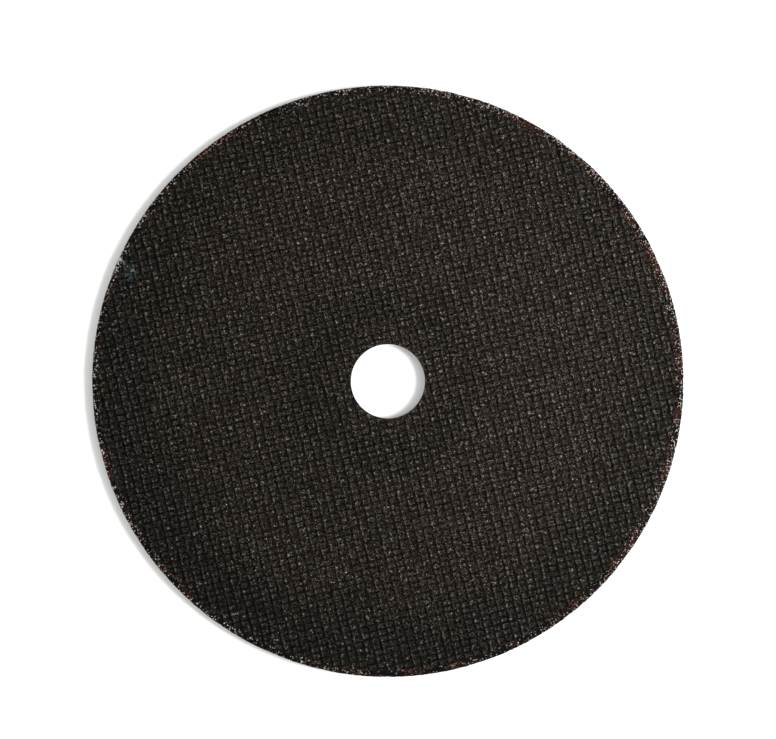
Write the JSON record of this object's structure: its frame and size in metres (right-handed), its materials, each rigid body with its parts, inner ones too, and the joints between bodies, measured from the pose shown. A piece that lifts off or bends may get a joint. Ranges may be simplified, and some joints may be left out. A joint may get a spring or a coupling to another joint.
{
  "type": "abrasive cutting disc",
  "caption": "Flat round abrasive cutting disc for an angle grinder: dark bonded grit with woven glass mesh pressed into both faces and a plain centre bore.",
  "frame": {"origin": "on the disc's axis in the plane of the rear face, the face the disc lies on", "axes": "+Z along the bore axis, out of the front face; +X and +Y in the plane of the disc, with no preferred direction except the lie of the weave"},
  "size_m": [0.1778, 0.1778, 0.0032],
  "materials": {
    "facing_cloth": "matte",
    "glass_mesh": "matte",
    "bore_patch": "matte",
    "abrasive": "matte"
  },
  "bodies": {
    "root": {"rear_facing_cloth": "facing_cloth", "rear_glass_mesh": "glass_mesh", "rear_bore_patch": "bore_patch", "rear_abrasive_layer": "abrasive", "centre_glass_mesh": "glass_mesh", "front_abrasive_layer": "abrasive", "front_bore_patch": "bore_patch", "front_glass_mesh": "glass_mesh", "front_facing_cloth": "facing_cloth"}
  },
  "joints": []
}
